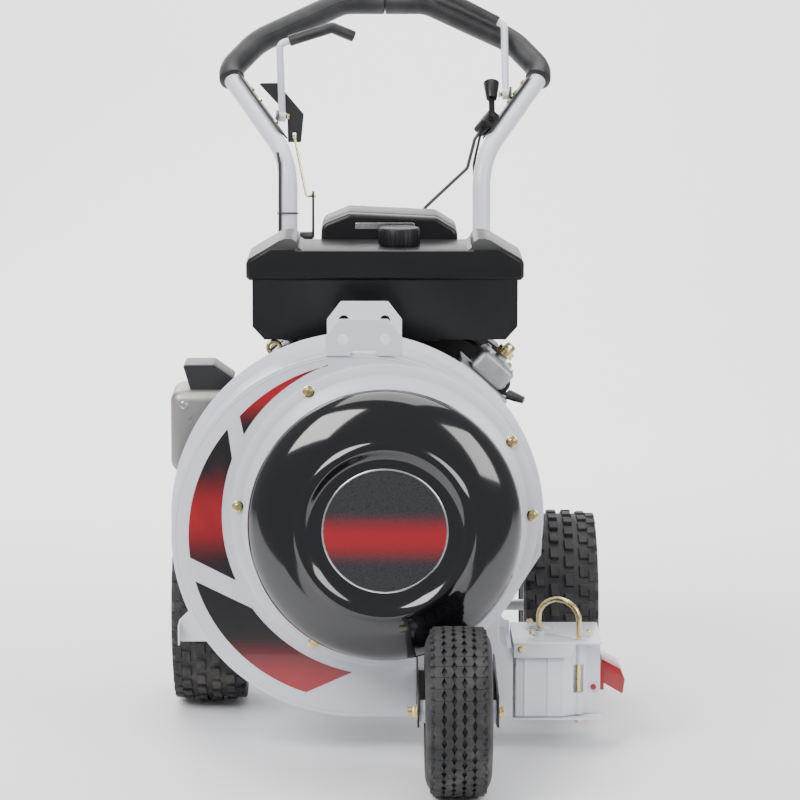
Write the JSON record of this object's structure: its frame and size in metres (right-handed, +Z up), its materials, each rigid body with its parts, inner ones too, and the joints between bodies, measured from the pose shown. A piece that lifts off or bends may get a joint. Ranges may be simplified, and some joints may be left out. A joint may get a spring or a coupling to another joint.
{
  "type": "walk behind leaf blower",
  "caption": "Three-wheeled walk behind leaf blower: sheet steel scroll fan with a domed intake, V-twin engine, side outlet with a foot-operated deflector, and a loop handle with control levers.",
  "frame": {"origin": "middle of the bounding box's base, on the ground", "axes": "+Z up; the machine's front, its domed intake and front wheel, faces -Y; the handle is at +Y; air leaves towards +X"},
  "size_m": [0.756, 1.3354, 1.2081],
  "materials": {
    "powder_coat": "satin white powder coat",
    "gloss_black": "gloss black moulded dome",
    "black_plastic": "satin black moulding",
    "black_steel": "black painted steel",
    "bright_steel": "bright zinc plated steel",
    "alloy": "as-cast aluminium",
    "casting": "dark engine casting",
    "muffler_steel": "grey pressed steel",
    "yellow_zinc": "yellow chromate zinc plate",
    "red_coat": "red coating",
    "tyre": "black tyre rubber",
    "rubber": "black rubber"
  },
  "bodies": {
    "chassis": {"air_cleaner_cover": "black_plastic", "control_bracket_left": "black_steel", "control_bracket_right": "black_steel", "crankcase": "casting", "cylinder_left": "alloy", "cylinder_right": "alloy", "drive_belt": "rubber", "drive_cable": "rubber", "engine_deck": "black_steel", "engine_shroud": "black_plastic", "frame_rail_left": "powder_coat", "frame_rail_right": "powder_coat", "front_axle_bolt": "yellow_zinc", "front_fork": "black_steel", "fuel_tank": "black_plastic", "grip_left": "black_plastic", "grip_right": "black_plastic", "hairpin_clip": "bright_steel", "handle_tube": "powder_coat", "hinge_rod": "yellow_zinc", "inlet_ring": "powder_coat", "intake_guard": "black_steel", "intake_pod": "gloss_black", "muffler": "muffler_steel", "outlet_chute": "powder_coat", "rear_crossmember": "powder_coat", "recoil_cover": "black_plastic", "scroll_back_plate": "powder_coat", "scroll_band": "powder_coat", "scroll_front_plate": "powder_coat", "tank_bracket": "black_steel", "throttle_box": "black_plastic", "throttle_cable": "rubber", "tie_plate_front": "powder_coat", "tie_plate_rear": "powder_coat", "transaxle": "alloy", "valve_cover_left": "alloy", "valve_cover_right": "alloy"},
    "crank": {"impeller": "bright_steel", "crankshaft": "bright_steel"},
    "lower_shaft": {"input_shaft": "bright_steel"},
    "front_wheel": {"front_tyre": "tyre", "front_rim": "powder_coat"},
    "rear_wheel_left": {"rear_tyre_left": "tyre", "rear_rim_left": "powder_coat", "axle_shaft_left": "bright_steel"},
    "rear_wheel_right": {"rear_tyre_right": "tyre", "rear_rim_right": "powder_coat", "axle_shaft_right": "bright_steel"},
    "clutch_arm": {"clutch_arm": "bright_steel"},
    "deflector": {"deflector_door": "powder_coat", "deflector_pedal": "red_coat"},
    "oil_cap": {"oil_cap": "yellow_zinc"},
    "starter_grip": {"starter_grip": "black_plastic"},
    "fuel_cap": {"fuel_cap": "black_plastic"},
    "drive_lever": {"drive_lever": "powder_coat"},
    "brake_lever": {"brake_lever": "powder_coat"},
    "throttle_lever": {"throttle_lever": "gloss_black"},
    "bellcrank": {"bellcrank": "black_steel"},
    "link_rod": {"link_rod": "yellow_zinc"}
  },
  "joints": [
    {"name": "crank_spin", "type": "hinge", "parent": "chassis", "child": "crank", "pos_m": [-0.015, -0.28475, 0.395], "axis": [0, 1, 0], "continuous": true},
    {"name": "lower_shaft_spin", "type": "hinge", "parent": "chassis", "child": "lower_shaft", "pos_m": [-0.015, -0.28475, 0.178], "axis": [0, 1, 0], "continuous": true},
    {"name": "front_wheel_spin", "type": "hinge", "parent": "chassis", "child": "front_wheel", "pos_m": [0.099, -0.53475, 0.133], "axis": [1, 0, 0], "continuous": true},
    {"name": "rear_wheel_left_spin", "type": "hinge", "parent": "chassis", "child": "rear_wheel_left", "pos_m": [-0.3145, 0.09925, 0.165], "axis": [1, 0, 0], "continuous": true},
    {"name": "rear_wheel_right_spin", "type": "hinge", "parent": "chassis", "child": "rear_wheel_right", "pos_m": [0.2845, 0.09925, 0.165], "axis": [1, 0, 0], "continuous": true},
    {"name": "clutch_arm_swing", "type": "hinge", "parent": "chassis", "child": "clutch_arm", "pos_m": [-0.055, 0.15955, 0.176], "axis": [0, 1, 0], "range_deg": [-10, 0]},
    {"name": "deflector_swing", "type": "hinge", "parent": "chassis", "child": "deflector", "pos_m": [0.301, -0.26275, 0.057], "axis": [0, 0, 1], "range_deg": [-75, 0]},
    {"name": "oil_cap_turn", "type": "hinge", "parent": "chassis", "child": "oil_cap", "pos_m": [0.1846, 0.00525, 0.61668], "axis": [0.6691, 0, 0.7431], "range_deg": [0, 180]},
    {"name": "starter_pull", "type": "slide", "parent": "chassis", "child": "starter_grip", "axis": [0.6428, 0, 0.766], "range_m": [0, 0.45], "stiffness_N_per_m": 30},
    {"name": "fuel_cap_turn", "type": "hinge", "parent": "chassis", "child": "fuel_cap", "pos_m": [0.009, 0.01525, 0.802], "axis": [0, 0, 1], "range_deg": [0, 180]},
    {"name": "drive_lever_swing", "type": "hinge", "parent": "chassis", "child": "drive_lever", "pos_m": [-0.201, 0.50525, 0.98], "axis": [1, 0, 0], "range_deg": [-40, 0], "stiffness_Nm_per_rad": 2},
    {"name": "brake_lever_swing", "type": "hinge", "parent": "chassis", "child": "brake_lever", "pos_m": [0.203, 0.50525, 1.02], "axis": [1, 0, 0], "range_deg": [0, 35]},
    {"name": "throttle_lever_swing", "type": "hinge", "parent": "chassis", "child": "throttle_lever", "pos_m": [0.17516, 0.41126, 0.98545], "axis": [0.4737, -0.674, 0.5669], "range_deg": [-12, 30]},
    {"name": "bellcrank_swing", "type": "hinge", "parent": "chassis", "child": "bellcrank", "pos_m": [-0.1555, 0.37925, 0.775], "axis": [1, 0, 0], "range_deg": [0, 14.2]},
    {"name": "link_rod_swing", "type": "hinge", "parent": "drive_lever", "child": "link_rod", "pos_m": [-0.179, 0.50775, 0.945], "axis": [1, 0, 0], "range_deg": [0, 43.2]}
  ],
  "couplings": [
    {"joint": "lower_shaft_spin", "follows": "crank_spin", "ratio": 0.64217},
    {"joint": "clutch_arm_swing", "follows": "drive_lever_swing", "ratio": 0.25},
    {"joint": "bellcrank_swing", "follows": "drive_lever_swing", "ratio": -0.355},
    {"joint": "link_rod_swing", "follows": "drive_lever_swing", "ratio": -1.08}
  ]
}
